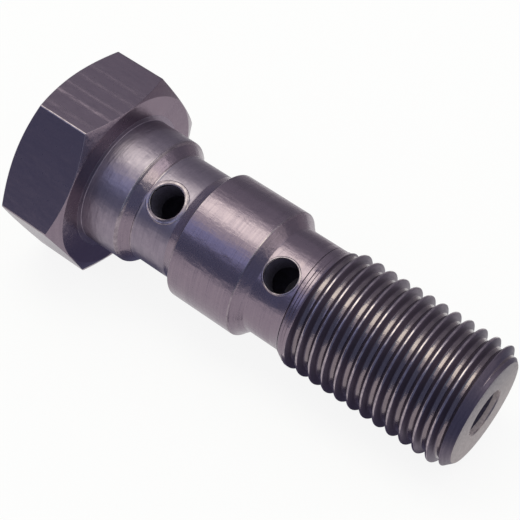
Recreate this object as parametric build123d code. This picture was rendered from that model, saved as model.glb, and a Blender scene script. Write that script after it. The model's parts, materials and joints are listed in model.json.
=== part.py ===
"""Double banjo bolt: a hollow hexagon bolt that clamps two ring fittings and feeds them both.

It is turned from one hexagon bar. From the head down it has a guide collar, an oil groove, a middle
land, a second oil groove and a fine right-hand thread. A blind bore runs up from the tip, and a hole
drilled across each groove meets it.

The bolt is made on its own axis: the seating face under the head is the plane Z = 0, the shank
points up +Z and one hexagon flat faces +X. The last step lays it down as it comes to rest, on that
flat and on the thread's last full crest. All sizes are in millimetres and degrees.
"""
from build123d import *
import os
from math import atan2, ceil, degrees, radians, sqrt, tan

# Head
hex_across_flats = 14.0
head_height = 5.5
head_chamfer_angle = 27.0  # slope of both corner chamfers, measured from the seating face
seat_circle_d = 13.85  # flat circle that the lower chamfer leaves on the seating face
crown_circle_d = 13.3  # the same on the outer face

# Shank, in order from the head; a length includes the bevel that ends it
collar_d = 10.0
collar_length = 4.15
upper_groove_d = 8.46
upper_groove_length = 3.85
land_d = 10.0
land_length = 6.1
lower_groove_d = 8.3
lower_groove_length = 3.65
bevel_angle = 45.0  # bevels on the tip side of the collar and the land, from the axis

# Thread: 60 degree form, 24 threads to the inch
thread_d = 9.42
thread_length = 13.4
thread_pitch = 25.4 / 24
thread_flank_angle = 30.0
thread_depth = 0.54
thread_root_width = 0.16
thread_lead_in_angle = 30.0  # cone from the lower groove up to the crest, from the axis
clear_of_crest = 0.06  # the threading tool stands this far proud of the crest it cuts
tip_d = 7.84  # flat circle at the tip, inside its 45 degree chamfer

# Oil ways
bore_d = 3.5
bore_past_hole = 0.3  # full bore beyond the far rim of the upper hole
drill_point_angle = 118.0
cross_hole_d = 2.58
cross_hole_edge = 0.1  # plain strip between a bevel's foot and the rim of its hole
cross_hole_turn = 4.0  # the holes' line, measured from a hexagon corner

# Radii and stations along the axis that follow from the sizes
hex_corner_r = hex_across_flats / sqrt(3)
collar_r = collar_d / 2
upper_groove_r = upper_groove_d / 2
land_r = land_d / 2
lower_groove_r = lower_groove_d / 2
thread_r = thread_d / 2
tip_r = tip_d / 2
bore_r = bore_d / 2

collar_end = collar_length
land_start = collar_end + upper_groove_length
land_end = land_start + land_length
thread_start = land_end + lower_groove_length
tip = thread_start + thread_length
last_crest = tip - (thread_r - tip_r)
upper_hole = collar_end + cross_hole_edge + cross_hole_d / 2
lower_hole = land_end + cross_hole_edge + cross_hole_d / 2
bore_end = upper_hole - cross_hole_d / 2 - bore_past_hole


def cone_length(wide_r, narrow_r, angle):
    """Length of a cone that drops from wide_r to narrow_r at an angle from the axis."""
    return (wide_r - narrow_r) / tan(radians(angle))


def radial_face(corners):
    """Face in the XZ plane from a list of (radius, height) corners."""
    points = [(radius, 0, height) for radius, height in corners]
    return make_face(Polyline(*points, close=True)).face()


def make_head():
    """Hexagon prism whose corners are cut by a shallow cone at each face."""
    hexagon = RegularPolygon(hex_across_flats / 2, 6, major_radius=False, rotation=30)
    prism = Pos(0, 0, -head_height) * extrude(hexagon, head_height)
    slope = tan(radians(head_chamfer_angle))
    outside_r = hex_corner_r + 1
    crown_drop = (outside_r - crown_circle_d / 2) * slope
    seat_drop = (outside_r - seat_circle_d / 2) * slope
    disc = radial_face(
        [
            (0, -head_height),
            (crown_circle_d / 2, -head_height),
            (outside_r, -head_height + crown_drop),
            (outside_r, -seat_drop),
            (seat_circle_d / 2, 0),
            (0, 0),
        ]
    )
    return prism & revolve(disc, Axis.Z)


def make_shank():
    """Collar, two grooves, land and thread blank, turned as one outline."""
    collar_bevel = cone_length(collar_r, upper_groove_r, bevel_angle)
    land_bevel = cone_length(land_r, lower_groove_r, bevel_angle)
    lead_in = cone_length(thread_r, lower_groove_r, thread_lead_in_angle)
    inside_head = -head_height / 2
    outline = radial_face(
        [
            (0, inside_head),
            (collar_r, inside_head),
            (collar_r, collar_end - collar_bevel),
            (upper_groove_r, collar_end),
            (upper_groove_r, land_start),
            (land_r, land_start),
            (land_r, land_end - land_bevel),
            (lower_groove_r, land_end),
            (lower_groove_r, thread_start),
            (thread_r, thread_start + lead_in),
            (thread_r, last_crest),
            (tip_r, tip),
            (0, tip),
        ]
    )
    return revolve(outline, Axis.Z)


def thread_groove():
    """The helical V that the threading tool cuts, from the lower groove out past the tip."""
    root_r = thread_r - thread_depth
    height = thread_depth + clear_of_crest
    root_half = thread_root_width / 2
    mouth_half = root_half + height * tan(radians(thread_flank_angle))
    first = thread_start - thread_pitch
    tool = radial_face(
        [
            (root_r, first - root_half),
            (root_r + height, first - mouth_half),
            (root_r + height, first + mouth_half),
            (root_r, first + root_half),
        ]
    )
    one_turn = Helix(thread_pitch, thread_pitch, root_r)
    turns = ceil((tip - first) / thread_pitch) + 1
    path = Wire([Pos(0, 0, first + turn * thread_pitch) * one_turn for turn in range(turns)])
    return sweep(sections=tool, path=path, is_frenet=True)


def make_bore():
    """Blind bore from the tip, with its drill point, to just past the upper cross hole."""
    point = cone_length(bore_r, 0, drill_point_angle / 2)
    outline = radial_face([(0, bore_end - point), (bore_r, bore_end), (bore_r, tip), (0, tip)])
    return revolve(outline, Axis.Z)


def make_cross_hole(height):
    """Hole drilled right across the shank at a height."""
    through = Cylinder(cross_hole_d / 2, hex_across_flats, rotation=(0, 90, 0))
    return Pos(0, 0, height) * Rot(0, 0, -150 + cross_hole_turn) * through


def make_bolt():
    """The whole bolt on its own axis."""
    bolt = make_head() + make_shank() - thread_groove()
    return bolt - make_bore() - make_cross_hole(upper_hole) - make_cross_hole(lower_hole)


def laid_at_rest(bolt):
    """The bolt lying on one flat and its last crest, centred over the ground under it."""
    dip = degrees(atan2(hex_across_flats / 2 - thread_r, last_crest))
    lying = Rot(0, 90 + dip, 0) * bolt
    box = lying.bounding_box()
    return Pos(-box.center().X, -box.center().Y, -box.min.Z) * lying


banjo_bolt = laid_at_rest(make_bolt())
os.makedirs("parts", exist_ok=True)
export_step(banjo_bolt, "parts/banjo_bolt.step")
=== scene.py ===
# %% [markdown]
# # A hollow double banjo bolt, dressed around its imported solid
#
# A banjo bolt clamps ring-shaped hose fittings and carries fluid through its own middle. This one
# is turned from hexagon bar in dark steel. From the head down it has a guide collar, a waisted
# groove with a cross hole, a fat middle land, a second groove with its hole, and a fine thread.
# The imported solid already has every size. This lesson adds what a lathe, a drill and a threading
# tool leave behind: rounded corners, torn hole rims, tool marks and a streaky satin sheen.

# %% The fixed frame
import json
import math

import bmesh
import bpy
import numpy as np
from mathutils import Matrix, Vector


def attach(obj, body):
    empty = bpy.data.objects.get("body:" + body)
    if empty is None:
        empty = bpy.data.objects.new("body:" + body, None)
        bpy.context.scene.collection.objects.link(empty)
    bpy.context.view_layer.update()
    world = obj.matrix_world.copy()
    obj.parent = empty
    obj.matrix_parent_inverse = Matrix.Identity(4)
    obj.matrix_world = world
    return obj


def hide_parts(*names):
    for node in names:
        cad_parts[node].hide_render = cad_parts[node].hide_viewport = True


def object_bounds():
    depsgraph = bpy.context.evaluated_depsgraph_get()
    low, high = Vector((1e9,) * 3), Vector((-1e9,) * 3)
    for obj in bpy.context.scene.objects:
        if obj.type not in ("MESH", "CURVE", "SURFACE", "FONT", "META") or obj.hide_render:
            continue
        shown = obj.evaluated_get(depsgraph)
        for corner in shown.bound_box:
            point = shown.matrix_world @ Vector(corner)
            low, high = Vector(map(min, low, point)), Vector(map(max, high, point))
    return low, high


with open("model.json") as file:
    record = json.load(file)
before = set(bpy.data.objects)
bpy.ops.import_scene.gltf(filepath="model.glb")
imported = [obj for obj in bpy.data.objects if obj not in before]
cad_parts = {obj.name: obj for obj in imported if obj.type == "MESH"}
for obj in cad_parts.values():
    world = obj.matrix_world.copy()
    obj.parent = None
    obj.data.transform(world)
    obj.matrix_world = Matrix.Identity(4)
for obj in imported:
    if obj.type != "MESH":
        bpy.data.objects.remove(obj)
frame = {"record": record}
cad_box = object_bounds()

MM = 0.001
print("packed box, mm:", [[round(c / MM, 2) for c in corner] for corner in cad_box])

# %% [markdown]
# ## Where the bolt lies
#
# The bolt rests on one flat of its head and on its last thread crest, so its axis dips a little
# towards the tip. Work on a turned part is easiest on its own axis: here every shape is made in
# millimetres with the seating face under the head at height 0, the shank pointing up and one flat
# facing +X. One matrix then lays the finished mesh down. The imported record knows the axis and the
# tip from its mounting points, so nothing is fitted by eye.

# %% The bolt's own axis, from the record
mounts = {mount["name"]: mount for mount in frame["record"]["mounts"]}
TIP = 31.15  # from the seating face to the end face
axis = Vector(mounts["tip_bore"]["axis"]).normalized()
seat_point = Vector(mounts["tip_bore"]["pos_m"]) - axis * TIP * MM
side = Vector((0, 1, 0))
flat_down = side.cross(axis)
LAY_DOWN = Matrix.Translation(seat_point) @ Matrix(
    [[flat_down[i] * MM, side[i] * MM, axis[i] * MM] for i in range(3)]
).to_4x4()
print("seat centre, mm:", [round(c / MM, 3) for c in seat_point])

# %% [markdown]
# ## Turned outlines with real corners
#
# A lathe tool has a small nose radius, so no inside corner is sharp, and deburring takes the bite
# out of every outside corner. Those tiny arcs catch the light and tell the eye that the part is
# metal. A Bevel modifier could round them, but it struggles once holes and threads are cut. So the
# outline is drawn with its arcs first: each corner carries its own radius, and one helper replaces
# the corner with points on an arc. A corner may also be an array, one value for each angle around
# the axis, which is how a round tool's outline follows a hexagon or a run-out that isn't round.


# %% A helper that rounds an outline's corners
def rounded(corners, steps=5):
    """Outline from (radius, height, corner radius) triples, as an array: angle, point, 2."""
    points = [np.stack(np.broadcast_arrays(r, z), -1).astype(float) for r, z, _ in corners]
    width = max(p.shape[0] if p.ndim > 1 else 1 for p in points)
    points = [np.broadcast_to(p, (width, 2)) for p in points]
    line = [points[0][:, None, :]]
    for before, here, after, (_, _, size) in zip(points, points[1:], points[2:], corners[1:]):
        if size == 0:
            line.append(here[:, None, :])
            continue
        back = (before - here) / np.linalg.norm(before - here, axis=1, keepdims=True)
        on = (after - here) / np.linalg.norm(after - here, axis=1, keepdims=True)
        half = np.arccos(np.clip((back * on).sum(1), -1, 1)) / 2
        inward = (back + on) / np.linalg.norm(back + on, axis=1, keepdims=True)
        centre = here + inward * (size / np.sin(half))[:, None]
        first = here + back * (size / np.tan(half))[:, None] - centre
        last = here + on * (size / np.tan(half))[:, None] - centre
        sweep = math.pi - 2 * half
        share = np.linspace(0, 1, steps + 1)[None, :, None]
        arc = np.sin((1 - share) * sweep[:, None, None]) * first[:, None, :]
        arc = arc + np.sin(share * sweep[:, None, None]) * last[:, None, :]
        line.append(centre[:, None, :] + arc / np.sin(sweep)[:, None, None])
    line.append(points[-1][:, None, :])
    return np.concatenate(line, axis=1)


# %% A helper that makes a mesh object
def mesh_object(name, points, faces):
    """Object with a closed mesh whose faces all point outward."""
    mesh = bpy.data.meshes.new(name)
    mesh.from_pydata(points, [], faces)
    build = bmesh.new()
    build.from_mesh(mesh)
    bmesh.ops.recalc_face_normals(build, faces=build.faces)
    if build.calc_volume(signed=True) < 0:
        bmesh.ops.reverse_faces(build, faces=build.faces)
    build.to_mesh(mesh)
    build.free()
    made = bpy.data.objects.new(name, mesh)
    bpy.context.scene.collection.objects.link(made)
    return made


# %% A helper that spins an outline
def spun(name, outline, angles):
    """Closed mesh from an outline that starts and ends on the axis, spun through the angles."""
    outline = np.broadcast_to(outline, (len(angles),) + outline.shape[1:])
    rim = outline[:, 1:-1]
    columns, rows = rim.shape[:2]
    x = rim[..., 0] * np.cos(angles)[:, None]
    y = rim[..., 0] * np.sin(angles)[:, None]
    points = np.stack([x, y, rim[..., 1]], -1).reshape(-1, 3).tolist()
    points += [(0, 0, outline[0, 0, 1]), (0, 0, outline[0, -1, 1])]
    start, end = columns * rows, columns * rows + 1
    faces = []
    for i in range(columns):
        a, b = i * rows, (i + 1) % columns * rows
        faces.append((start, b, a))
        faces += [(a + j, b + j, b + j + 1, a + j + 1) for j in range(rows - 1)]
        faces.append((a + rows - 1, b + rows - 1, end))
    return mesh_object(name, points, faces)


# %% [markdown]
# ## Joining and cutting
#
# Every blank here is watertight, and for watertight meshes Blender's Manifold solver is both the
# fastest and the cleanest boolean. The modifier is baked at once and the tool is thrown away, as
# a cutter goes back in its drawer.


# %% Helpers that join or cut closed meshes
def applied(target):
    """Bakes target's modifiers into its mesh."""
    graph = bpy.context.evaluated_depsgraph_get()
    baked = bpy.data.meshes.new_from_object(target.evaluated_get(graph))
    target.modifiers.clear()
    old, target.data = target.data, baked
    bpy.data.meshes.remove(old)


def combined(target, tool, operation):
    """Applies one boolean to target and removes the tool."""
    step = target.modifiers.new(operation.lower(), "BOOLEAN")
    step.operation = operation
    step.object = tool
    step.solver = "MANIFOLD"
    applied(target)
    bpy.data.objects.remove(tool)
    print(target.name, operation.lower(), "->", len(target.data.polygons), "faces")
    return target


# %% [markdown]
# ## One finish for each way the steel was worked
#
# Every surface of the bolt is the same dark steel, but a drawn bar, a turned land, a worn edge, a
# torn thread flank and a drilled hole each scatter light in their own way. The shaders come later.
# Their names come first, because each blank below paints its faces by number before it is cut, and
# a boolean carries those numbers over to the faces that it makes.

# %% The list of finishes
FINISHES = [
    "drawn_bar",
    "turned_land",
    "turned_groove",
    "rubbed_crest",
    "thread_flank",
    "thread_root",
    # painted shade: the holes' walls are near black
    "drilled_wall_painted_shade",
    "faced_end",
    "worn_rim",
    # painted light: a pale, matte band just inside the bore's mouth
    "bore_mouth_painted_light",
]
BAR, LAND, GROOVE, CREST, FLANK, ROOT, HOLE_SHADE, FACED, RIM, MOUTH_LIGHT = range(len(FINISHES))
palette = [bpy.data.materials.new(name) for name in FINISHES]


def painted(target, numbers):
    """Gives target every finish and paints its faces: one number, or one for each face."""
    for material in palette:
        target.data.materials.append(material)
    count = len(target.data.polygons)
    numbers = [numbers] * count if isinstance(numbers, int) else numbers
    target.data.polygons.foreach_set("material_index", numbers)
    return target


def banded(target, bands):
    """Paints target's faces by height; bands are (lowest height, finish), in rising order."""
    centres = np.empty(len(target.data.polygons) * 3)
    target.data.polygons.foreach_get("center", centres)
    place = np.searchsorted([low for low, _ in bands], centres[2::3], side="right") - 1
    finishes = np.array([finish for _, finish in bands])
    return painted(target, finishes[np.maximum(place, 0)].tolist())


# %% [markdown]
# ## The hexagon head
#
# The head is a slice of hexagon bar, faced on both sides and given a shallow cone at its corners.
# Where a cone meets a flat it draws the arc that every nut and bolt shows. A hexagon cylinder cut
# by two cones would do it, but its corners would be knife sharp. Instead the head is spun like the
# shank, with an outline whose outer radius follows the hexagon as it turns. The arcs appear by
# themselves, and each corner can be rounded by a few hundredths.

# %% The hexagon's radius at any turn
ACROSS_FLATS = 14.0
HEAD_HEIGHT = 5.5
CONE_SLOPE = math.tan(math.radians(27))
SEAT_CIRCLE_R, CROWN_CIRCLE_R = 13.85 / 2, 13.3 / 2
BAR_CORNER_R = 0.17
SIXTH = math.radians(60)
corner_centre = (ACROSS_FLATS / 2 - BAR_CORNER_R) / math.cos(SIXTH / 2)
corner_edge = math.atan2(
    BAR_CORNER_R * math.sin(SIXTH / 2), corner_centre + BAR_CORNER_R * math.cos(SIXTH / 2)
)


def hexagon_radius(turn):
    """Distance from the axis to the rounded hexagon; turn is the angle from its nearest corner."""
    flat = ACROSS_FLATS / 2 / np.cos(SIXTH / 2 - np.abs(turn))
    inside = np.maximum(BAR_CORNER_R**2 - (corner_centre * np.sin(turn)) ** 2, 0)
    corner = corner_centre * np.cos(turn) + np.sqrt(inside)
    return np.where(np.abs(turn) < corner_edge, corner, flat)


# %% The head
corner_turns = np.linspace(-corner_edge, corner_edge, 7)
flat_turns = np.linspace(corner_edge, SIXTH - corner_edge, 28)[1:-1]
turns = np.concatenate([corner_turns, flat_turns])
head_angles = (SIXTH / 2 + np.arange(6)[:, None] * SIXTH + turns[None, :]).ravel()
nearest = np.where(turns > SIXTH / 2, turns - SIXTH, turns)
hexagon = np.tile(hexagon_radius(nearest), 6)
head_outline = rounded(
    [
        (0, -HEAD_HEIGHT, 0),
        (CROWN_CIRCLE_R, -HEAD_HEIGHT, 0.12),
        (hexagon, -HEAD_HEIGHT + (hexagon - CROWN_CIRCLE_R) * CONE_SLOPE, 0.06),
        (hexagon, -(hexagon - SEAT_CIRCLE_R) * CONE_SLOPE, 0.06),
        (SEAT_CIRCLE_R, 0, 0.1),
        (0, 0, 0),
    ],
    steps=4,
)
head = spun("head", head_outline, head_angles)
TURNED_LEAN = 0.35  # a face whose normal leans this much along the axis is turned, not drawn
FLAT_SPREAD = math.radians(4)  # a flat's normal is no further than this from its middle


def head_finish(face):
    """Rubbed where the bar's corners are, drawn on the flats, turned everywhere else."""
    if abs(face.normal.z) > TURNED_LEAN:
        return LAND
    turn = (math.atan2(face.normal.y, face.normal.x) + SIXTH / 2) % SIXTH - SIXTH / 2
    return RIM if abs(turn) > FLAT_SPREAD else BAR


painted(head, [head_finish(face) for face in head.data.polygons])
print("head faces:", len(head.data.polygons))

# %% [markdown]
# ## The turned shank
#
# Collar, grooves, land and thread blank come from one tool in one set-up, so they are one outline
# here too. A faint ring on the seat and a small bead at the foot of the collar's bevel are where
# the tool paused. The arcs are as large as the tool that left them, and the edges that were rubbed
# while the bolt rolled about in a bin get a brighter finish of their own.
#
# The thread doesn't start on a true cone. The tool was pulled in while the bolt turned, so the
# lead-in begins earlier on one side than on the other, and each light pass left a small step that
# climbs like the thread. run_in gives the outline of those steps for every angle at once.

# %% Radii and heights of the shank
COLLAR_R, LAND_R, CREST_R = 5.0, 5.0, 4.71
UPPER_GROOVE_R, LOWER_GROOVE_R = 4.23, 4.16
INSIDE_HEAD = -2.0
SEAT_RING_R, SEAT_RING_RISE = 5.43, 0.006
BEVEL_START, BEVEL_END = 3.14, 3.86
LAND_START, LAND_END = 8.0, 14.15
LAND_BEVEL_START = LAND_END - 0.72
TOOL_LIFT = 0.95  # the groove ends in a curve this long, where the round tool was drawn out
TOOL_PAUSE = 16.36
BLANK_R = 5.0  # proud of the crest, because the thread's own crest trims it
TIP_R = 3.92
shank_angles = np.linspace(0, 2 * math.pi, 241)[:-1]
print("shank, mm: %.1f from seat to tip" % TIP)

# %% The stepped lead-in
PITCH = 25.4 / 24
FRONT = math.radians(-142)  # the side that the lead-in's steps are measured from
LEAD_START, LEAD_SWING, LEAD_SLOPE = 17.12, 0.27, 0.53
FIRST_STEP = 17.05
STEP_RISES = (0, 0.28, 0.55, 0.82)
STEP_NOSE = 0.1
HAIR = 0.01  # keeps neighbouring corners apart
front_turn = (shank_angles - FRONT + math.pi) % (2 * math.pi) - math.pi


def lead_in(height, turn):
    """Radius of the smooth cone under the steps."""
    beyond = np.maximum(height - LEAD_START + LEAD_SWING * np.sin(turn), 0)
    return LOWER_GROOVE_R + beyond * LEAD_SLOPE


def run_in():
    """Corners of the stepped lead-in, each with one radius and height for every angle."""
    steps = [FIRST_STEP + PITCH * front_turn / (2 * math.pi) + rise for rise in STEP_RISES]
    foot = np.minimum(LEAD_START - LEAD_SWING * np.sin(front_turn), steps[0] - 2 * HAIR)
    corners = [(LOWER_GROOVE_R, foot, 0)]
    corners.append((lead_in(steps[0] - HAIR, front_turn), steps[0] - HAIR, 0))
    for low, high in zip(steps, steps[1:]):
        middle = lead_in((low + high) / 2, front_turn)
        corners += [(middle, low + STEP_NOSE, 0), (middle + HAIR, high, 0)]
    corners.append((BLANK_R, steps[-1] + (BLANK_R - middle) / LEAD_SLOPE, 0))
    return corners


# %% The shank
shank_outline = rounded(
    [
        (0, INSIDE_HEAD, 0),
        (SEAT_RING_R, INSIDE_HEAD, 0),
        (SEAT_RING_R, -0.01, 0),
        (SEAT_RING_R - 0.012, SEAT_RING_RISE, 0),
        (COLLAR_R, SEAT_RING_RISE, 0.05),
        (COLLAR_R, BEVEL_START, 0.16),
        (COLLAR_R - 0.2, BEVEL_START + 0.14, 0.1),
        (UPPER_GROOVE_R + 0.05, BEVEL_END, 0.14),
        (UPPER_GROOVE_R + 0.01, BEVEL_END + 0.04, 0.03),
        (UPPER_GROOVE_R + 0.045, BEVEL_END + 0.11, 0.04),
        (UPPER_GROOVE_R + 0.035, BEVEL_END + 0.18, 0.05),
        (UPPER_GROOVE_R, BEVEL_END + 0.28, 0.15),
        (UPPER_GROOVE_R, LAND_START - TOOL_LIFT, 0.8),
        (UPPER_GROOVE_R + 0.3, LAND_START - 0.02, 0.12),
        (LAND_R, LAND_START, 0.1),
        (LAND_R, LAND_BEVEL_START - 0.06, 0.1),
        (LAND_R - 0.14, LAND_BEVEL_START + 0.04, 0.1),
        (LOWER_GROOVE_R, LAND_END, 0.12),
        (LOWER_GROOVE_R, TOOL_PAUSE - 0.05, 0),
        (LOWER_GROOVE_R - 0.012, TOOL_PAUSE, 0),
        (LOWER_GROOVE_R, TOOL_PAUSE + 0.05, 0),
        *run_in(),
        (BLANK_R, TIP - (BLANK_R - TIP_R), 0),
        (TIP_R, TIP, 0.08),
        (0, TIP, 0),
    ],
    steps=7,
)
shank = banded(
    spun("shank", shank_outline, shank_angles),
    [
        (INSIDE_HEAD, GROOVE),
        (BEVEL_START - 0.09, RIM),
        (BEVEL_START + 0.1, LAND),
        (BEVEL_END + 0.05, RIM),
        (BEVEL_END + 0.2, GROOVE),
        (LAND_START - TOOL_LIFT, LAND),
        (LAND_START - 0.02, RIM),
        (LAND_START + 0.12, LAND),
        (LAND_BEVEL_START - 0.12, RIM),
        (LAND_BEVEL_START - 0.02, LAND),
        (TIP - 1.3, FLANK),
        (TIP - 0.02, FACED),
    ],
)
print("shank faces:", len(shank.data.polygons))

# %% [markdown]
# ## The thread
#
# Twelve turns of fine right-hand thread, cut by a pointed tool whose tip is slightly round, and
# brushed over so that the crests are slightly round too. Stacking rings would look right from
# afar, but rings don't climb. Here one pitch of the profile is swept up a helix as a closed rod,
# and the shank keeps only what lies inside that rod. On the head's side a wide sleeve is joined to
# the rod, so the rest of the shank passes through untouched. There the valley fades out within a
# quarter of a turn, as it does when the tool is pulled back while the bolt still turns.

# %% One pitch of the thread
ROOT_R = CREST_R - 0.55
ROOT_HALF = 0.19
FLANK_RUN = 0.255
FIRST_VALLEY = 15.634  # where the sweep starts; it cuts nothing for the first turns
FADE_FROM, FADE_TO = 1.84, 2.1  # turns from there over which the valley reaches its depth
TURN_STEPS = 144
one_pitch = rounded(
    [
        (ROOT_R, 0, 0),
        (ROOT_R, ROOT_HALF, 0.24),
        (CREST_R, ROOT_HALF + FLANK_RUN, 0.16),
        (CREST_R, PITCH - ROOT_HALF - FLANK_RUN, 0.1),
        (ROOT_R, PITCH - ROOT_HALF, 0.24),
        (ROOT_R, PITCH, 0),
    ],
    steps=4,
)[0][:-1]
print("thread: pitch %.3f mm, %.2f mm deep" % (PITCH, CREST_R - ROOT_R))


def pitch_finishes():
    """Finish of each strip of one pitch: dull flanks, rubbed crest, and the root between."""
    closed = np.vstack([one_pitch, one_pitch[:1] + (0, PITCH)])
    rise, run = np.abs(np.diff(closed, axis=0)).T
    high = (closed[:-1, 0] + closed[1:, 0]) / 2 > (ROOT_R + CREST_R) / 2
    return [FLANK if r > 0.8 * t else CREST if h else ROOT for r, t, h in zip(rise, run, high)]


# %% The threaded rod
def threaded_rod():
    """Closed helical rod; its first valley is at FIRST_VALLEY where the angle is zero."""
    rows = len(one_pitch)
    last = math.ceil((TIP - FIRST_VALLEY) / PITCH) * TURN_STEPS
    column = np.arange(last + TURN_STEPS + 1)
    angle = 2 * math.pi * column / TURN_STEPS
    lift = FIRST_VALLEY + PITCH * column / TURN_STEPS
    valley = column[:, None] / TURN_STEPS + (one_pitch[None, :, 1] > PITCH / 2)
    fade = np.clip((valley - FADE_FROM) / (FADE_TO - FADE_FROM), 0, 1)
    r = CREST_R - (CREST_R - one_pitch[None, :, 0]) * fade
    z = one_pitch[None, :, 1] + lift[:, None]
    points = np.stack([r * np.cos(angle)[:, None], r * np.sin(angle)[:, None], z], -1)
    points = points.reshape(-1, 3).tolist()

    def at(c, row):
        """Number of a point; the row above the last one is the first row one turn later."""
        return c * rows + row if row < rows else (c + TURN_STEPS) * rows

    faces = [
        (at(c, row), at(c + 1, row), at(c + 1, row + 1), at(c, row + 1))
        for c in range(last)
        for row in range(rows)
    ]
    numbers = pitch_finishes() * last
    low, high = len(points), len(points) + 1
    points += [(0, 0, lift[0]), (0, 0, lift[last] + PITCH)]
    for hub, first in ((low, 0), (high, last)):
        rim = [at(first + c, 0) for c in range(TURN_STEPS + 1)]
        rim += [at(first, row) for row in range(rows - 1, -1, -1)]
        faces += [(hub, a, b) for a, b in zip(rim, rim[1:])]
    numbers += [FLANK] * (len(faces) - len(numbers))
    used = sorted({i for face in faces for i in face})
    new = {old: i for i, old in enumerate(used)}
    faces = [tuple(new[i] for i in face) for face in faces]
    return painted(mesh_object("thread_rod", [points[i] for i in used], faces), numbers)


# %% The thread cut into the shank
rod = threaded_rod()
SLEEVE_R, SLEEVE_START, SLEEVE_END = 12, -9, FIRST_VALLEY + 0.9
sleeve_outline = rounded(
    [
        (0, SLEEVE_START, 0),
        (SLEEVE_R, SLEEVE_START, 0),
        (SLEEVE_R, SLEEVE_END, 0),
        (0, SLEEVE_END, 0),
    ]
)
combined(rod, painted(spun("sleeve", sleeve_outline, shank_angles), GROOVE), "UNION")
combined(shank, rod, "INTERSECT")
bolt = combined(head, shank, "UNION")
bolt.name = "bolt"

# %% [markdown]
# ## The line where the tool stopped
#
# Under the first step the tool skimmed the groove and left one hair line that climbs with the
# thread. Drawn as colour it would vanish from the side, so it is a real scratch: a thin
# three-sided strip wound along the helix and cut away, with both ends fading to nothing.


# %% A strip wound along the thread's helix
def helical_scratch(name, height, first, last, width, depth, sections=49, proud=0.05):
    """Strip from first to last degree around FRONT, where it is at the given height."""
    turns = np.radians(np.linspace(first, last, sections))
    fading = np.minimum(1, 2.5 * np.sin(np.linspace(0, math.pi, sections)))
    lifts = height + PITCH * turns / (2 * math.pi)
    wide = width / 2 * (1 + proud / depth)
    points = []
    for turn, cut, lift, base in zip(turns, depth * fading + 0.001, lifts, lead_in(lifts, turns)):
        angle = turn + FRONT
        for r, shift in ((base + proud, -wide), (base - cut, 0), (base + proud, wide)):
            points.append((r * math.cos(angle), r * math.sin(angle), lift + shift))
    end = len(points) - 3
    faces = [(0, 1, 2), (end, end + 2, end + 1)]
    for a in range(0, end, 3):
        faces += [(a + j, a + (j + 1) % 3, a + 3 + (j + 1) % 3, a + 3 + j) for j in range(3)]
    return painted(mesh_object(name, points, faces), FLANK)


scratch = helical_scratch("scratch", 17.03, -88, 112, width=0.07, depth=0.045)
combined(bolt, scratch, "DIFFERENCE")

# %% [markdown]
# ## The fluid ways
#
# A drill runs up the middle from the tip and stops just past the upper cross hole, and each groove
# is drilled right across. One cutter of each shape does it. The mouth of the bore keeps a narrow
# bevel from deburring, and just inside it the wall is painted pale: painted light that falls into
# the bore.

# %% The bore
BORE_R, CROSS_R = 1.75, 1.27
UPPER_HOLE, LOWER_HOLE = 5.54, 15.49
BORE_PAST_HOLE = 0.3
BORE_END = UPPER_HOLE - CROSS_R - BORE_PAST_HOLE
DRILL_POINT = math.radians(118)
MOUTH_DEPTH, MOUTH_BEVEL = 0.4, 0.08
hole_angles = np.linspace(0, 2 * math.pi, 97)[:-1]
bore_outline = rounded(
    [
        (0, BORE_END - BORE_R / math.tan(DRILL_POINT / 2), 0),
        (BORE_R, BORE_END, 0),
        (BORE_R, TIP - MOUTH_DEPTH, 0),
        (BORE_R, TIP - MOUTH_BEVEL, 0),
        (BORE_R + 2 * MOUTH_BEVEL, TIP + MOUTH_BEVEL, 0),
        (0, TIP + MOUTH_BEVEL, 0),
    ]
)
# The bore's wall is painted shade, near black, and its first tenths are painted light, pale.
bore = banded(
    spun("bore", bore_outline, hole_angles),
    [(0, HOLE_SHADE), (TIP - MOUTH_DEPTH + 0.01, MOUTH_LIGHT), (TIP - 0.07, FACED)],
)
combined(bolt, bore, "DIFFERENCE")

# %% The cross holes
HOLE_TURN = math.radians(-146)
REACH = 7  # each drill goes this far to both sides of the axis
drill_outline = rounded([(0, -REACH, 0), (CROSS_R, -REACH, 0), (CROSS_R, REACH, 0), (0, REACH, 0)])
across = Matrix.Rotation(HOLE_TURN, 4, "Z") @ Matrix.Rotation(math.radians(90), 4, "Y")
# The cross holes' walls are painted shade, near black.
for name, height in (("upper_hole", UPPER_HOLE), ("lower_hole", LOWER_HOLE)):
    drill = painted(spun(name, drill_outline, hole_angles), HOLE_SHADE)
    drill.data.transform(Matrix.Translation((0, 0, height)) @ across)
    combined(bolt, drill, "DIFFERENCE")

# %% [markdown]
# ## Torn rims
#
# A drill that breaks through round steel pushes up a lip, and a quick pass with a deburring tool
# flattens it into a ring. The ring isn't flat in space, it follows the groove, so it can't be a
# torus. It is a small closed profile carried round the hole, and at each step every point is
# dropped onto the groove's cylinder. Where the lip was torn, the profile swells.


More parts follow.
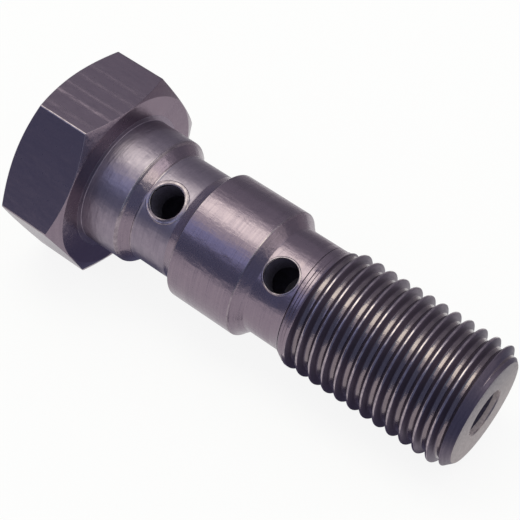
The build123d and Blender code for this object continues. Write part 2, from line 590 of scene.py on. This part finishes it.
# %% A helper that lays a ring around a cross hole
def hole_rim(name, turn, burr, height, groove_r, profile):
    """Ring from (distance from the hole's axis, rise over the groove) points.

    burr is (direction in degrees, half width in degrees, growth); 0 degrees points to the tip.
    """
    direction, half, growth = burr
    off = (hole_angles - math.radians(direction) + math.pi) % (2 * math.pi) - math.pi
    swell = 1 + growth * np.exp(-((off / math.radians(half)) ** 2))
    outward = Vector((math.cos(turn), math.sin(turn), 0))
    sideways = Vector((-math.sin(turn), math.cos(turn), 0))
    points = []
    for angle, grow in zip(hole_angles, swell):
        for distance, rise in profile:
            over = distance * math.sin(angle)
            drop = math.sqrt(groove_r**2 - over**2)
            up = drop + (rise * grow if rise > 0 else rise)
            place = outward * up + sideways * over
            points.append((place.x, place.y, height + distance * math.cos(angle)))
    count, total = len(profile), len(points)
    faces = []
    for here in range(0, total, count):
        there = (here + count) % total
        for j in range(count):
            k = (j + 1) % count
            faces.append((here + j, there + j, there + k, here + k))
    return painted(mesh_object(name, points, faces), RIM)


# %% The rims
UPPER_PROFILE = [
    (CROSS_R - 0.012, -0.2), (CROSS_R - 0.012, 0.03), (CROSS_R + 0.03, 0.055),
    (CROSS_R + 0.09, 0.035), (CROSS_R + 0.17, 0.02), (CROSS_R + 0.24, 0.045),
    (CROSS_R + 0.29, 0.05), (CROSS_R + 0.34, 0.02), (CROSS_R + 0.36, -0.2),
]
LOWER_PROFILE = [
    (CROSS_R - 0.012, -0.2), (CROSS_R - 0.012, 0.025), (CROSS_R + 0.03, 0.04),
    (CROSS_R + 0.08, 0.03), (CROSS_R + 0.12, 0.005), (CROSS_R + 0.14, -0.2),
]
UPPER_RIM = (UPPER_HOLE, UPPER_GROOVE_R, UPPER_PROFILE)
LOWER_RIM = (LOWER_HOLE, LOWER_GROOVE_R, LOWER_PROFILE)
NEAR, FAR = HOLE_TURN, HOLE_TURN + math.pi
for name, turn, burr, rim in (
    ("rim_1", NEAR, (112, 22, 0.9), UPPER_RIM),
    ("rim_2", NEAR, (92, 20, 1.6), LOWER_RIM),
    ("rim_3", FAR, (250, 25, 0.9), UPPER_RIM),
    ("rim_4", FAR, (200, 20, 1.2), LOWER_RIM),
):
    combined(bolt, hole_rim(name, turn, burr, *rim), "UNION")

# %% Smooth where it is round, crisp where it is cut
CRISP_ANGLE = math.radians(32)
bolt.data.transform(LAY_DOWN)
bolt.data.polygons.foreach_set("use_smooth", [True] * len(bolt.data.polygons))
bolt.data.set_sharp_from_angle(angle=CRISP_ANGLE)
weighted = bolt.modifiers.new("weighted normals", "WEIGHTED_NORMAL")
weighted.keep_sharp = True
applied(bolt)
bolt.data.name = "bolt"
triangles = sum(len(face.vertices) - 2 for face in bolt.data.polygons)
print("bolt triangles:", triangles)
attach(bolt, "root")
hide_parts("banjo_bolt")

# %% [markdown]
# ## Nodes with less typing
#
# A material is a small program drawn as nodes. These helpers keep it readable: one adds a node and
# sets or wires its sockets in the same call, one does sums, one opens a new group with named
# inputs and outputs, and one places a copy of a group.


# %% Node helpers
def wire(tree, made, values):
    """Sets or links the inputs of a node; each value is a constant or an output socket."""
    for key, value in values.items():
        if isinstance(value, bpy.types.NodeSocket):
            tree.links.new(value, made.inputs[key])
        else:
            made.inputs[key].default_value = value
    return made


def node(tree, kind, values=None, **settings):
    """New shader node of a kind, with its settings and inputs."""
    made = tree.nodes.new("ShaderNode" + kind)
    for key, value in settings.items():
        setattr(made, key, value)
    return wire(tree, made, values or {})


def sums(tree, operation, first, second=0.0, clamp=False):
    """Output of one Math node."""
    made = node(tree, "Math", {0: first, 1: second}, operation=operation, use_clamp=clamp)
    return made.outputs[0]


# %% Group helpers
def new_group(name, inputs, outputs):
    """Node group with named sockets; returns its tree, its inputs and its output node."""
    tree = bpy.data.node_groups.new(name, "ShaderNodeTree")
    for label, kind, value in inputs:
        socket = tree.interface.new_socket(
            label, in_out="INPUT", socket_type="NodeSocket" + kind
        )
        socket.default_value = value
    for label, kind in outputs:
        tree.interface.new_socket(label, in_out="OUTPUT", socket_type="NodeSocket" + kind)
    return tree, tree.nodes.new("NodeGroupInput").outputs, tree.nodes.new("NodeGroupOutput")


def placed(tree, group, values=None):
    """Outputs of a copy of a node group inside a material or another group."""
    made = node(tree, "Group", node_tree=group)
    return wire(tree, made, values or {}).outputs


# %% [markdown]
# ## Where a point is on the bolt
#
# Tool marks follow the bolt's own axis, not the room's. A Texture Coordinate node gives the point
# in metres, and one Mapping node turns it back into the bolt's own millimetres: the matrix that
# laid the mesh down, the other way round. Every finish starts from this group.

# %% Group: place on the bolt
upright = Matrix([flat_down, side, axis])
bolt_place, _, out = new_group("bolt_place", [], [("Place", "Vector"), ("Turn", "Float")])
local = node(
    bolt_place,
    "Mapping",
    {
        "Vector": node(bolt_place, "TexCoord").outputs["Object"],
        "Location": -(upright @ seat_point) / MM,
        "Rotation": upright.to_euler(),
        "Scale": (1 / MM, 1 / MM, 1 / MM),
    },
).outputs[0]
parts = node(bolt_place, "SeparateXYZ", {0: local}).outputs
turn = sums(bolt_place, "ARCTAN2", parts["Y"], parts["X"])
turn = sums(bolt_place, "ADD", sums(bolt_place, "DIVIDE", turn, 2 * math.pi), 1.0)
wire(bolt_place, out, {"Place": local, "Turn": sums(bolt_place, "FRACT", turn)})
print("group", bolt_place.name, "nodes:", len(bolt_place.nodes))

# %% [markdown]
# ## Marks that run one way
#
# A turning tool leaves marks that run around the bolt, and a drawing die leaves marks along it.
# Both are the same thing: noise that changes fast across the marks and slowly along them. A Wave
# texture would be too regular. So the group stretches the bolt's millimetres before a Noise node:
# its frequency is given for each direction, in changes per millimetre. Low and High cut the noise
# down to the part that shows, from soft clouds to a few separate specks.

# %% Group: one-way marks
marks, given, out = new_group(
    "one_way_marks",
    [
        ("Frequency", "Vector", (1, 1, 1)),
        ("Detail", "Float", 3.0),
        ("Low", "Float", 0.3),
        ("High", "Float", 0.7),
    ],
    [("Marks", "Float")],
)
stretched = node(
    marks,
    "VectorMath",
    {0: placed(marks, bolt_place)["Place"], 1: given["Frequency"]},
    operation="MULTIPLY",
).outputs[0]
noise = node(
    marks,
    "TexNoise",
    {"Vector": stretched, "Scale": 1.0, "Detail": given["Detail"], "Roughness": 0.6},
).outputs[0]
shaped = node(
    marks, "MapRange", {"Value": noise, "From Min": given["Low"], "From Max": given["High"]}
).outputs[0]
wire(marks, out, {"Marks": shaped})
print("group", marks.name, "nodes:", len(marks.nodes))

# %% [markdown]
# ## Scores from the drawing die
#
# On the flats of the head a few pale scores run along the bar. They sit where grit sat in the
# die, so they are not random: a ramp over the turn around the axis lists them one by one. On a
# flat, a fixed turn is a straight line along the bar, which is exactly how a score runs.

# %% Group: die scores
SCORES = [  # turn in degrees, strength
    (22, 0.6), (81, 0.5), (98, 0.9), (131, 0.6), (167.5, 0.4),
    (177.2, 0.4), (186.9, 0.5), (195.2, 1.0), (205.3, 0.35), (322, 0.6),
]
HALF_WIDTH, WANDER = 0.0052, 0.0004  # shares of a whole turn
die_scores, given, out = new_group(
    "die_scores", [("Half Width", "Float", HALF_WIDTH)], [("Scores", "Float")]
)
place = placed(die_scores, bolt_place)["Turn"]
wobble = placed(die_scores, marks, {"Frequency": (0.3, 0.3, 0.9), "Detail": 2.0})["Marks"]
place = sums(die_scores, "ADD", place, sums(die_scores, "MULTIPLY", wobble, WANDER))
scored = None
for degrees, strength in SCORES:
    off = sums(die_scores, "SUBTRACT", place, degrees / 360 + WANDER / 2)
    off = sums(die_scores, "DIVIDE", sums(die_scores, "ABSOLUTE", off), given["Half Width"])
    line = sums(die_scores, "SUBTRACT", 1.0, off, clamp=True)
    line = sums(die_scores, "MULTIPLY", line, strength)
    scored = line if scored is None else sums(die_scores, "MAXIMUM", scored, line)
gaps = {"Frequency": (4, 4, 1.1), "Detail": 3.0, "Low": 0.3, "High": 0.62}
broken = placed(die_scores, marks, gaps)["Marks"]
wire(die_scores, out, {"Scores": sums(die_scores, "MULTIPLY", scored, broken)})
print("group", die_scores.name, "scores:", len(SCORES), "nodes:", len(die_scores.nodes))

# %% [markdown]
# ## The finishes
#
# All ten are one steel: a metallic Principled BSDF, dark and a little violet from its heat
# treatment. What changes is how evenly it was cut. Each finish stacks a few layers of marks, and
# each layer feeds three things at once: a touch of tint, a touch of roughness, and the height of a
# Bump node in real millimetres. Metallic goes to 0 only in the holes, whose near-black walls are
# painted shade and whose pale bore mouth is painted light.


# %% A helper that builds one steel
SCORE_HEIGHT = 0.003


def steel(material, dark, light, rough, layers, scores=0.0, metallic=1.0, glint=0.5):
    """Metal from layers of marks: (frequency, detail, low, high, height in mm, share of tint).

    scores is the die scores' share of tint, and glint is the shader's Specular IOR Level.
    """
    material.use_nodes = True
    tree = material.node_tree
    shader = tree.nodes["Principled BSDF"]
    wire(tree, shader, {"Metallic": metallic, "Specular IOR Level": glint})
    height, shade = 0.0, 0.0
    for frequency, detail, low, high, depth, share in layers:
        values = {"Frequency": frequency, "Detail": detail, "Low": low, "High": high}
        layer = placed(tree, marks, values)["Marks"]
        height = sums(tree, "ADD", sums(tree, "MULTIPLY", layer, depth), height)
        shade = sums(tree, "ADD", sums(tree, "MULTIPLY", layer, share), shade)
    if scores:
        lines = placed(tree, die_scores)["Scores"]
        height = sums(tree, "ADD", sums(tree, "MULTIPLY", lines, SCORE_HEIGHT), height)
        shade = sums(tree, "ADD", sums(tree, "MULTIPLY", lines, scores), shade)
    mixed = node(
        tree,
        "Mix",
        {"Factor": shade, "A": (*dark, 1), "B": (*light, 1)},
        data_type="RGBA",
        clamp_factor=False,
    )
    spread = node(tree, "MapRange", {"Value": shade, "To Min": rough[0], "To Max": rough[1]})
    bump = node(tree, "Bump", {"Height": height, "Strength": 1.0, "Distance": MM})
    colour = [o for o in mixed.outputs if o.type == "RGBA"][0]
    wire(
        tree,
        shader,
        {"Base Color": colour, "Roughness": spread.outputs[0], "Normal": bump.outputs[0]},
    )
    print(material.name, "layers:", len(layers), "nodes:", len(tree.nodes))


# %% [markdown]
# The flats of the bar are satin with faint lines along them and a few pale scores. The lands carry
# fine rings from the finishing cut, a slow waviness that makes the reflections' edges wander, and
# small scuffs that run along the bolt. The upper groove and the collar are the same cut left
# rougher, and handling has blotched them.

# %% Bar, lands and grooves
WAVES = ((0.9, 0.9, 0.7), 2, 0.2, 0.8, 0.018, 0.1)
SPECKS = ((7, 7, 7), 3, 0.3, 0.7, 0.0015, 0.25)
SCUFFS = ((3.2, 3.2, 0.55), 3, 0.45, 0.72, 0.004, 0.1)
RINGS = ((0.25, 0.25, 7), 3, 0.3, 0.7, 0.0028, 0.55)
ROUGH_RINGS = ((0.25, 0.25, 9), 3, 0.3, 0.7, 0.004, 0.4)
DRAWN_LINES = ((5, 5, 0.15), 3, 0.35, 0.7, 0.0012, 0.2)
BLOTCHES = ((0.8, 0.8, 2.2), 3, 0.35, 0.65, 0.008, 0.3)
steel(
    palette[BAR],
    dark=(0.19, 0.15, 0.195),
    light=(0.26, 0.205, 0.25),
    rough=(0.3, 0.24),
    layers=[WAVES, SPECKS, DRAWN_LINES],
    scores=4.5,
)
steel(
    palette[LAND],
    dark=(0.2, 0.155, 0.2),
    light=(0.27, 0.21, 0.255),
    rough=(0.3, 0.2),
    layers=[WAVES, SPECKS, SCUFFS, RINGS],
)
steel(
    palette[GROOVE],
    dark=(0.2, 0.165, 0.215),
    light=(0.3, 0.25, 0.305),
    rough=(0.42, 0.32),
    layers=[WAVES, SPECKS, SCUFFS, BLOTCHES, ROUGH_RINGS],
)

# %% [markdown]
# Crests and edges rub on everything, so they are paler and smoother, but only here and there. The
# thread's flanks are torn, rough and darker than the lands, and its roots a little darker and
# browner. The drilled walls are painted near black and matte, with Metallic at 0: painted shade
# that keeps the holes dark inside. The first tenths of the bore are painted pale and matte:
# painted light that falls into its mouth. The faced end is the palest of the mirrors, because it
# was cut last.

# %% Edges and thread
CREST_RUBS = ((2.5, 2.5, 2.5), 3, 0.35, 0.65, 0.002, 0.7)
EDGE_RUBS = ((2, 2, 2), 3, 0.35, 0.65, 0.004, 0.7)
TORN_RINGS = ((0.6, 0.6, 9), 3, 0.3, 0.7, 0.004, 0.6)
ROOT_RINGS = ((0.4, 0.4, 9), 3, 0.3, 0.7, 0.002, 0.5)
steel(
    palette[CREST],
    dark=(0.22, 0.18, 0.215),
    light=(0.44, 0.37, 0.41),
    rough=(0.2, 0.13),
    layers=[SPECKS, CREST_RUBS],
)
steel(
    palette[FLANK],
    dark=(0.115, 0.092, 0.13),
    light=(0.195, 0.155, 0.2),
    rough=(0.5, 0.4),
    layers=[SPECKS, TORN_RINGS],
)
steel(
    palette[ROOT],
    dark=(0.16, 0.13, 0.15),
    light=(0.26, 0.21, 0.23),
    rough=(0.24, 0.15),
    layers=[SPECKS, SCUFFS, ROOT_RINGS],
)
steel(
    palette[RIM],
    dark=(0.19, 0.155, 0.185),
    light=(0.35, 0.29, 0.33),
    rough=(0.32, 0.2),
    layers=[SPECKS, EDGE_RUBS],
)

# %% Holes and end
CRUMBS = ((4, 4, 4), 3, 0.3, 0.7, 0.004, 1.0)
GRAIN = ((5, 5, 5), 3, 0.3, 0.7, 0.002, 0.8)
# Painted shade: near black and matte, so the holes stay dark inside.
steel(
    palette[HOLE_SHADE],
    dark=(0.05, 0.045, 0.072),
    light=(0.08, 0.07, 0.115),
    rough=(0.85, 0.75),
    layers=[CRUMBS],
    metallic=0.0,
    glint=0.12,
)
# Painted light: pale and matte, for the light that falls into the bore's mouth.
steel(
    palette[MOUTH_LIGHT],
    dark=(0.4, 0.34, 0.36),
    light=(0.58, 0.5, 0.52),
    rough=(0.7, 0.6),
    layers=[CRUMBS],
    metallic=0.0,
)
steel(
    palette[FACED],
    dark=(0.25, 0.205, 0.21),
    light=(0.34, 0.285, 0.29),
    rough=(0.42, 0.34),
    layers=[WAVES, GRAIN],
)

# %% [markdown]
# ## The camera
#
# A long lens from the tip's side, above the bolt and a little in front of it, so that the seat
# under the head, both cross holes and the mouth of the bore all show. Its place is given from the
# bolt's own seat, so it stays right if the frame ever moves.

# %% The camera
EYE = Vector((54.789, -59.678, 72.921)) * MM  # from the bolt's seat
RIGHT = Vector((0.78944, 0.61248, 0.04070))
UP = Vector((-0.45627, 0.54115, 0.70638))
SENSOR_WIDTH, FOCAL_LENGTH = 36, 102.71
lens = bpy.data.cameras.new("camera")
lens.sensor_width = SENSOR_WIDTH
lens.lens = FOCAL_LENGTH
lens.clip_start, lens.clip_end = 0.01, 10
camera = bpy.data.objects.new("camera", lens)
bpy.context.scene.collection.objects.link(camera)
bpy.context.scene.camera = camera
camera.matrix_world = Matrix.Translation(seat_point + EYE) @ Matrix(
    [[RIGHT[i], UP[i], RIGHT.cross(UP)[i]] for i in range(3)]
).to_4x4()
print("camera, mm from the seat:", [round(c / MM, 1) for c in EYE])

# %% [markdown]
# ## A white floor that keeps its shadow
#
# Paper lit by lamps is never quite white in a render. Most of what the camera sees of the floor is
# therefore an even white glow, and the rest is real paper, which carries the bolt's soft shadow.
# Metal is a mirror, and it must see the paper as it lies, darker where the bolt stands over it, so
# mirror rays get a smaller share of the glow. Nothing of it lights the bolt itself.

# %% The floor
HALF_FLOOR = 2
UNDER_BOLT = 0.00002
CAMERA_GLOW, MIRROR_GLOW = 0.88, 0.75
floor_mesh = bpy.data.meshes.new("floor")
floor_mesh.from_pydata(
    [(x * HALF_FLOOR, y * HALF_FLOOR, 0) for x, y in ((-1, -1), (1, -1), (1, 1), (-1, 1))],
    [],
    [(0, 1, 2, 3)],
)
floor = bpy.data.objects.new("floor", floor_mesh)
bpy.context.scene.collection.objects.link(floor)
floor.location.z = cad_box[0].z - UNDER_BOLT
paper = bpy.data.materials.new("white_paper")
paper.use_nodes = True
tree = paper.node_tree
wire(
    tree,
    tree.nodes["Principled BSDF"],
    {"Base Color": (0.9, 0.9, 0.9, 1), "Roughness": 0.9, "Specular IOR Level": 0.0},
)
path = node(tree, "LightPath").outputs
mirrored = sums(tree, "ADD", path["Is Glossy Ray"], path["Is Transmission Ray"], clamp=True)
share = sums(
    tree,
    "ADD",
    sums(tree, "MULTIPLY", path["Is Camera Ray"], CAMERA_GLOW),
    sums(tree, "MULTIPLY", mirrored, MIRROR_GLOW),
)
white = node(tree, "Emission", {"Color": (1, 1, 1, 1)})
mixed = node(
    tree,
    "MixShader",
    {0: share, 1: tree.nodes["Principled BSDF"].outputs[0], 2: white.outputs[0]},
)
tree.links.new(mixed.outputs[0], tree.nodes["Material Output"].inputs["Surface"])
floor_mesh.materials.append(paper)
print("floor, mm under the bolt:", UNDER_BOLT / MM)

# %% [markdown]
# ## What the steel mirrors
#
# Dark polished metal has almost no colour of its own. Its look is the room in it: a bright soft
# box, duller windows, and dark gaps between them that draw the edges. Only the lamp and the world
# light the bolt; the cards are glowing sheets that mirrors alone can see. The long ones lie along
# the bolt like staves of a barrel, each given by the turns it fills: 0 is the front, 90 straight
# up and 180 the back. The mats lie on the floor around the bolt; the small ones under and behind
# the bolt are painted shadow, dark where its own shadow falls on the paper.
#
# The thread is a row of tiny round mirrors, and each of them sees a wide piece of the room. Two
# small cards close over it, which only mirrors see, are a painted glint and a painted shade: the
# bright one gives the thread a crisp glint, the dark one a deep shade below it, and the plain
# lands beside it hardly see them.

# %% A helper that hangs a lamp
BARREL_R = 0.6


def around(turn):
    """Point on the barrel at a turn."""
    turn = math.radians(turn)
    return Vector((0, -math.cos(turn), math.sin(turn))) * BARREL_R


def lamp(name, low, high, left, right, radiance, colour):
    """Soft box that fills the turns from low to high, from left to right along X."""
    along, across = Vector((1, 0, 0)), around(high) - around(low)
    place = (around(low) + around(high)) / 2 + along * (left + right) / 2
    data = bpy.data.lights.new(name, "AREA")
    data.shape = "RECTANGLE"
    data.size, data.size_y, data.color = right - left, across.length, colour
    data.energy = radiance * math.pi * data.size * data.size_y
    across.normalize()
    made = bpy.data.objects.new(name, data)
    bpy.context.scene.collection.objects.link(made)
    made.matrix_world = Matrix.Translation(place) @ Matrix(
        [[along[i], across[i], along.cross(across)[i]] for i in range(3)]
    ).to_4x4()


# %% A helper that makes a card
def card(name, corners, colour):
    """Glowing card that only mirrors see, from its four corners in metres."""
    mesh = bpy.data.meshes.new(name)
    mesh.from_pydata(corners, [], [(0, 1, 2, 3)])
    made = bpy.data.objects.new(name, mesh)
    bpy.context.scene.collection.objects.link(made)
    finish = bpy.data.materials.new(name)
    finish.use_nodes = True
    tree = finish.node_tree
    glow = node(tree, "Emission", {"Color": (*colour, 1)})
    tree.links.new(glow.outputs[0], tree.nodes["Material Output"].inputs["Surface"])
    tree.nodes.remove(tree.nodes["Principled BSDF"])
    mesh.materials.append(finish)
    for kind in ("camera", "diffuse", "shadow", "volume_scatter"):
        setattr(made, "visible_" + kind, False)


# %% Corners for the cards
def stave(low, high, left, right):
    """Corners of a long card that fills the turns from low to high."""
    a, b = around(low), around(high)
    return [(left, a.y, a.z), (right, a.y, a.z), (right, b.y, b.z), (left, b.y, b.z)]


def upright_card(x, y0, y1, z0, z1):
    """Corners of a card across the bolt's long way."""
    return [(x, y0, z0), (x, y1, z0), (x, y1, z1), (x, y0, z1)]


def mat(x0, x1, y0, y1, z=0.001):
    """Corners of a level card, just over the floor where no height is given."""
    return [(x0, y0, z), (x1, y0, z), (x1, y1, z), (x0, y1, z)]


def front_card(x0, x1, y, z0, z1):
    """Corners of an upright card along the bolt, between it and the camera."""
    return [(x0, y, z0), (x1, y, z0), (x1, y, z1), (x0, y, z1)]


# %% The room
DARK = (0.17, 0.2, 0.3)
DIM = (0.36, 0.48, 0.6)
lamp("softbox", 77, 105, -0.5, 0.1, 2.1, (0.98, 1.04, 0.78))
card("window_card", stave(38, 58, -0.6, 0.06), (0.6, 0.72, 1.1))
card("front_flag", stave(0, 37, -0.6, 0.06), DARK)
card("back_card", stave(118, 152, -0.6, 0.5), (0.4, 0.4, 0.45))
card("back_flag", stave(152, 180, -0.6, 0.5), (0.28, 0.28, 0.32))
card("right_stave", stave(0, 117, 0.11, 0.5), DIM)
card("left_flag", upright_card(-0.6, -0.6, 0.6, 0, 0.6), (0.24, 0.26, 0.36))
card("right_flag", upright_card(0.5, -0.6, 0.06, 0, 0.6), DARK)
card("right_glow", upright_card(0.5, 0.06, 0.4, 0.09, 0.26), (0.75, 0.75, 0.7))
card("right_window", upright_card(0.5, 0.06, 0.4, 0.26, 0.6), (1.9, 1.9, 1.8))
card("right_back", upright_card(0.5, 0.4, 0.9, 0.15, 0.6), (0.35, 0.35, 0.4))
card("right_back_low", upright_card(0.5, 0.4, 0.9, 0, 0.15), (0.12, 0.12, 0.17))
card("front_mat", mat(-0.6, 0.5, -0.6, -0.11), DARK)
card("right_mat", mat(0.065, 0.5, -0.11, 0.09), DARK)
card("near_mat", mat(0.0215, 0.065, -0.11, 0.03), DARK)
card("back_mat", mat(-0.6, 0.5, 0.024, 0.6), (0.42, 0.4, 0.43))
# Painted shadow: dark mats under the head and under the thread, where the bolt's shadow lies.
card("head_painted_shadow", mat(-0.0137, -0.0083, -0.0053, 0.003, 0.0004), (0.12, 0.12, 0.2))
card("thread_painted_shadow", mat(0.0032, 0.0165, -0.006, 0.002, 0.0002), (0.1, 0.09, 0.15))
# Painted glint and painted shade on the thread: a bright card over it, a dark one in front.
card("thread_painted_glint", mat(0.0018, 0.0225, -0.0058, 0.0022, 0.024), (3.1, 3.2, 2.55))
card("thread_painted_shade", front_card(0.0015, 0.03, -0.012, 0.0075, 0.0235), (0.19, 0.225, 0.34))
# Painted shadow: a half-dark mat behind the head, where the bolt's shadow lies.
card("behind_painted_shadow", mat(-0.0105, -0.0005, 0.005, 0.022, 0.0004), (0.78, 0.75, 0.77))

# %% [markdown]
# ## The rest of the light
#
# Everything the cards leave open is plain white world, seen at full strength by the camera and by
# mirrors, and a little weaker where it lights dull surfaces.

# %% The world
FILL_LIGHT = 0.75
world = bpy.data.worlds.new("studio")
bpy.context.scene.world = world
world.use_nodes = True
tree = world.node_tree
path = node(tree, "LightPath").outputs
seen = sums(tree, "ADD", path["Is Camera Ray"], path["Is Glossy Ray"])
seen = sums(tree, "ADD", seen, path["Is Transmission Ray"], clamp=True)
level = node(tree, "MapRange", {"Value": seen, "To Min": FILL_LIGHT, "To Max": 1.0})
wire(
    tree,
    tree.nodes["Background"],
    {"Color": (1, 1, 1, 1), "Strength": level.outputs[0]},
)
bpy.context.scene.view_settings.view_transform = "Standard"
